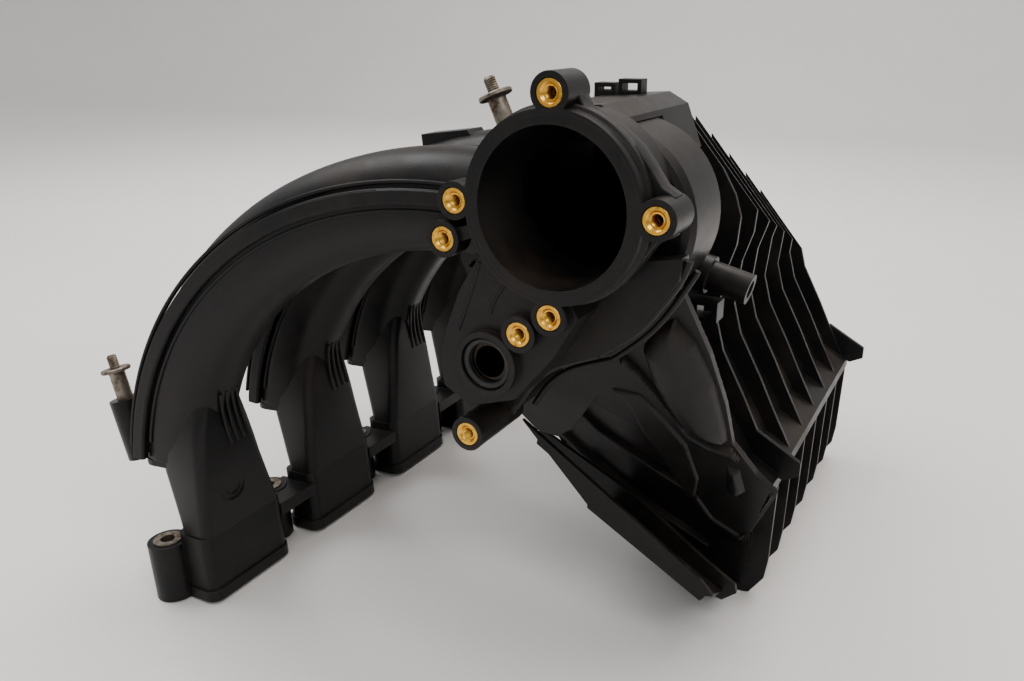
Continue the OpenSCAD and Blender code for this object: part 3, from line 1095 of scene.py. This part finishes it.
@dataclass
class ShoulderStuds:
    """Steel studs with a body, a flanged collar and a threaded end."""

    bench: Bench
    body_r: float = 4.6
    collar_r: float = 8.5
    collar: float = 2.2
    thread_r: float = 3.0
    thread: float = 8.0
    sunk: float = 10.0
    pitch: float = 1.0
    studs: tuple[tuple[str, tuple[float, float, float], float, float, float], ...] = (
        ("stud_front", (-271.0, -8.0, -173.0), -14.5, 37.0, 19.0),
        ("stud_top", (-47.4, 60.0, 12.0), -24.2, 14.0, 17.0),
    )

    def profile(self, sleeve: float, body: float) -> list[tuple[float, float]]:
        """The turned profile of one stud.

        Args:
            sleeve: Length of the plastic sleeve that holds it.
            body: Length of its body over the sleeve.

        Returns:
            Radius and height in millimetres.
        """
        top = sleeve + body
        points = [(0.0, sleeve - self.sunk), (self.body_r - 0.5, sleeve - self.sunk), (self.body_r, sleeve - self.sunk + 0.5), (self.body_r, top - 3.4),
                  (self.body_r + 0.5, top - 2.6), (self.collar_r - 0.4, top - 2.2), (self.collar_r, top - 1.8), (self.collar_r, top - 0.5), (self.collar_r - 0.5, top)]
        height = top
        points += [(self.thread_r - 0.35, top)]
        while height < top + self.thread - 1.5:
            points += [(self.thread_r - 0.35, height + 0.25), (self.thread_r, height + 0.6)]
            height += self.pitch
        points += [
            (self.thread_r - 0.4, top + self.thread - 0.6), (self.thread_r - 0.9, top + self.thread),
            (0.0, top + self.thread)
        ]
        return points

    def build(self) -> None:
        """Builds both studs."""
        for name, place, tilt, sleeve, body in self.studs:
            profile = self.profile(sleeve, body)
            self.bench.clear()
            bpy.ops.mesh.primitive_circle_add(vertices=len(profile), radius=0.01, fill_type="NOTHING")
            piece = bpy.context.object
            for vertex, (radius, height) in zip(piece.data.vertices, profile):
                vertex.co = mm(radius, 0, height)
            bpy.ops.object.mode_set(mode="EDIT")
            bpy.ops.mesh.select_all(action="SELECT")
            bpy.ops.mesh.spin(steps=40, angle=math.tau, center=(0, 0, 0), axis=(0, 0, 1))
            bpy.ops.object.mode_set(mode="OBJECT")
            self.bench.outward(piece)
            piece.matrix_world = Matrix.Translation(mm(*place)) @ Matrix.Rotation(math.radians(tilt), 4, "Y")
            self.bench.hand_over(piece, f"turned_{name}", Slot.STEEL, [name], angle=30.0)


@dataclass
class LegDetails:
    """Mouldings on the legs: a fairing that carries each arch into its leg, gills over it and a blank mould mark."""

    bench: Bench
    count: int = 4
    pitch: float = 91.0
    corner: float = 6.0
    sections: tuple[tuple[float, float, float, float, float], ...] = (
        (-124.0, -236.0, -212.5, -8.0, 15.0),
        (-132.0, -238.0, -211.2, -12.0, 20.5),
        (-146.0, -240.0, -211.8, -15.4, 25.0),
        (-160.0, -243.8, -211.4, -17.5, 28.2),
        (-172.0, -244.8, -211.6, -17.8, 31.0),
        (-190.0, -241.6, -213.6, -17.4, 37.2),
        (-213.0, -237.8, -215.7, -16.9, 45.0),
    )
    gills: tuple[tuple[float, float], ...] = ((-1.0, 7.0), (3.6, 12.0), (8.2, 17.0), (12.4, 21.6))

    def outline(self, low_x: float, high_x: float, low_y: float, high_y: float) -> list[tuple[float, float]]:
        """A rounded rectangle.

        Args:
            low_x: Its least place across.
            high_x: Its greatest place across.
            low_y: Its least place along the engine.
            high_y: Its greatest place along the engine.

        Returns:
            Its points in order, in millimetres.
        """
        points = []
        for quarter in range(4):
            cx = (high_x - self.corner) if quarter in (0, 3) else (low_x + self.corner)
            cy = (high_y - self.corner) if quarter < 2 else (low_y + self.corner)
            for k in range(7):
                a = math.radians(90 * (quarter + k / 6))
                points.append((cx + self.corner * math.cos(a), cy + self.corner * math.sin(a)))
        return points

    def fairing(self, index: int) -> None:
        """Builds one fairing as a row of sections that are bridged.

        Args:
            index: The leg's number from 0.
        """
        rings = []
        for z, low_x, high_x, low_y, high_y in self.sections:
            points = self.outline(low_x, high_x, low_y + index * self.pitch, high_y + index * self.pitch)
            self.bench.clear()
            bpy.ops.mesh.primitive_circle_add(vertices=len(points), radius=0.01, fill_type="NOTHING")
            ring = bpy.context.object
            for vertex, (x, y) in zip(ring.data.vertices, points):
                vertex.co = mm(x, y, z)
            rings.append(ring)
        self.bench.clear()
        for ring in rings:
            ring.select_set(True)
        bpy.context.view_layer.objects.active = rings[0]
        bpy.ops.object.join()
        piece = bpy.context.object
        bpy.ops.object.mode_set(mode="EDIT")
        bpy.ops.mesh.select_mode(type="EDGE")
        bpy.ops.mesh.select_all(action="SELECT")
        bpy.ops.mesh.bridge_edge_loops()
        bpy.ops.mesh.select_all(action="DESELECT")
        bpy.ops.mesh.select_non_manifold()
        bpy.ops.mesh.edge_face_add()
        bpy.ops.object.mode_set(mode="OBJECT")
        self.bench.outward(piece)
        self.bench.hollow_ends(piece, lambda face: len(face.vertices) > 8, 1.6)
        self.bench.hand_over(piece, f"leg_fairing_{index + 1}", Slot.BODY, angle=45.0)

    def build(self) -> None:
        """Builds the fairings, the gills and the mark."""
        for leg in range(self.count):
            self.fairing(leg)
            shift = leg * self.pitch
            for k, (top, bottom) in enumerate(self.gills):
                side = (top - 5.3) * 0.1564
                path = [
                    mm(-206.6 - side, top + shift, -122.5),
                    mm(-210.6 - side * 0.6, top + (bottom - top) * 0.33 + shift, -134.0),
                    mm(-211.7, top + (bottom - top) * 0.68 + shift, -146.0),
                    mm(-211.4, bottom + shift, -157.5),
                ]
                self.bench.hand_over(self.bench.bead(path, 1.0), f"gill_{leg + 1}_{k + 1}", Slot.BODY, angle=60.0)
        for name, radius, thick in (("mould_mark", 8.6, 0.5), ("mould_mark_inner", 5.0, 0.4)):
            self.bench.hand_over(self.bench.ring(mm(-213.2, 6.3, -186.0), radius, thick), name, Slot.BODY, angle=60.0)


# ---------------------------------------------------------------- studio


@dataclass
class Studio:
    """Pale floor and walls, soft light and the camera."""

    floor_mm: float = -256.0
    eye: tuple[float, float, float] = (162.3, -314.6, 71.8)
    yaw: float = -29.78
    pitch: float = 19.84
    roll: float = -0.65
    lens: float = 31.0

    def cove(self) -> bpy.types.Object:
        """A pale floor that sweeps up into a wall.

        Returns:
            The floor object.
        """
        bpy.ops.object.select_all(action="DESELECT")
        level = self.floor_mm * 0.001
        bpy.ops.mesh.primitive_plane_add(size=1.0, location=(0, 0, 0))
        floor = bpy.context.object
        side, back = 7.0, 3.4
        for vertex, place in zip(
            floor.data.vertices,
            ((-side, -2.6, level), (side, -2.6, level), (-side, back, level), (side, back, level))
        ):
            vertex.co = place
        bpy.ops.object.mode_set(mode="EDIT")
        bpy.ops.mesh.select_all(action="DESELECT")
        bpy.ops.object.mode_set(mode="OBJECT")
        for edge in floor.data.edges:
            edge.select = all(floor.data.vertices[v].co.y > back - 0.01 for v in edge.vertices)
        bpy.ops.object.mode_set(mode="EDIT")
        bpy.ops.mesh.select_mode(type="EDGE")
        bpy.ops.mesh.extrude_region_move(TRANSFORM_OT_translate={"value": (0, 0, 5.0)})
        bpy.ops.mesh.select_all(action="SELECT")
        bpy.ops.mesh.normals_make_consistent(inside=True)
        bpy.ops.object.mode_set(mode="OBJECT")
        bend = floor.modifiers.new("cove", "BEVEL")
        bend.width, bend.segments, bend.limit_method = 1.0, 20, "ANGLE"
        bpy.ops.object.modifier_apply(modifier=bend.name)
        bpy.ops.object.transform_apply(location=True, rotation=True, scale=True)
        bpy.ops.object.shade_smooth_by_angle(angle=math.radians(40))
        floor.name = "floor"
        return floor

    def paint(self, floor: bpy.types.Object) -> None:
        """Gives the floor a matt white paper finish.

        Args:
            floor: The floor object.
        """
        material, tree, place = start_material("white_paper")
        cloud = add_node(tree, "ShaderNodeTexNoise", values={"Scale": 3.0, "Detail": 4.0}, links={"Vector": place})
        colour = add_node(
            tree, "ShaderNodeMix", {"data_type": "RGBA"}, {
                6: linear("#e6e2e0"), 7: linear("#efecea")
            }, {0: cloud.outputs["Fac"]}
        )
        shader = add_node(
            tree, "ShaderNodeBsdfPrincipled", values={"Roughness": 0.42}, links={"Base Color": colour.outputs[2]}
        )
        add_node(tree, "ShaderNodeOutputMaterial", links={"Surface": shader.outputs["BSDF"]})
        floor.data.materials.append(material)

    def lamp(
        self, name: str, place: Sequence[float], aim: Sequence[float], size: float, power: float, tint: str
    ) -> None:
        """Adds one soft box.

        Args:
            name: The lamp's name.
            place: Where it hangs, in metres.
            aim: The point that it faces, in metres.
            size: Its side in metres.
            power: Its power in watts.
            tint: Its colour in sRGB hex.
        """
        data = bpy.data.lights.new(name, "AREA")
        data.shape, data.size, data.energy = "SQUARE", size, power
        data.color = linear(tint)[:3]
        lamp = bpy.data.objects.new(name, data)
        lamp.location = place
        lamp.rotation_euler = (Vector(aim) - Vector(place)).to_track_quat("-Z", "Y").to_euler()
        bpy.context.scene.collection.objects.link(lamp)

    def camera(self) -> None:
        """Places the camera at the part's viewing angle."""
        yaw, pitch, roll = (math.radians(v) for v in (self.yaw, self.pitch, self.roll))
        ahead = Vector((math.sin(yaw) * math.cos(pitch), math.cos(yaw) * math.cos(pitch), -math.sin(pitch)))
        right = Vector((math.cos(yaw), -math.sin(yaw), 0))
        up = right.cross(ahead)
        side = right * math.cos(roll) + up * math.sin(roll)
        top = up * math.cos(roll) - right * math.sin(roll)
        data = bpy.data.cameras.new("camera")
        data.lens, data.sensor_width = self.lens, 36.0
        data.clip_start, data.clip_end = 0.01, 20.0
        camera = bpy.data.objects.new("camera", data)
        turn = Matrix((side, top, -ahead)).transposed().to_4x4()
        camera.matrix_world = Matrix.Translation(mm(*self.eye)) @ turn
        bpy.context.scene.collection.objects.link(camera)
        bpy.context.scene.camera = camera

    def build(self) -> None:
        """Builds the floor, the light and the camera."""
        self.paint(self.cove())
        world = bpy.data.worlds.new("studio")
        world.use_nodes = True
        bpy.context.scene.world = world
        tree = world.node_tree
        ahead = add_node(tree, "ShaderNodeTexCoord")
        split = add_node(tree, "ShaderNodeSeparateXYZ", links={"Vector": ahead.outputs["Generated"]})
        height = ramp(tree, split.outputs["Z"], -0.1, 0.9)
        sky = add_node(
            tree, "ShaderNodeMix", {"data_type": "RGBA"}, {6: linear("#b4b7ba"), 7: linear("#ffffff")}, {0: height}
        )
        tree.links.new(sky.outputs[2], tree.nodes["Background"].inputs["Color"])
        tree.nodes["Background"].inputs["Strength"].default_value = 0.85
        self.lamp("key_box", (-1.0, 0.1, 1.3), (-0.1, 0.1, -0.1), 0.9, 17.0, "#ffffff")
        self.lamp("top_box", (0.3, 0.9, 1.6), (0.0, 0.15, -0.1), 1.3, 25.0, "#fff8f2")
        self.lamp("side_box", (0.9, -0.5, 1.1), (0.0, 0.05, -0.1), 0.7, 7.0, "#fffaf2")
        self.lamp("wall_box", (-0.9, 0.9, 1.0), (-1.3, 2.2, 0.1), 0.8, 14.0, "#ffffff")
        self.camera()


def main() -> None:
    """Builds the manifold's looks in order."""
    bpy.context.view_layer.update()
    paints = Paintbox()
    bench = Bench(paints)
    CarriedNodes(bench).build()
    FrontWall(bench).build()
    GapFins(bench).build()
    Runners(bench).build()
    ThrottleFlange(bench).build()
    BrassInserts(bench).build()
    ShoulderStuds(bench).build()
    LegDetails(bench).build()
    Studio().build()
    log.info("pieces made: %d", len(bench.made))


if __name__ == "__main__":
    main()
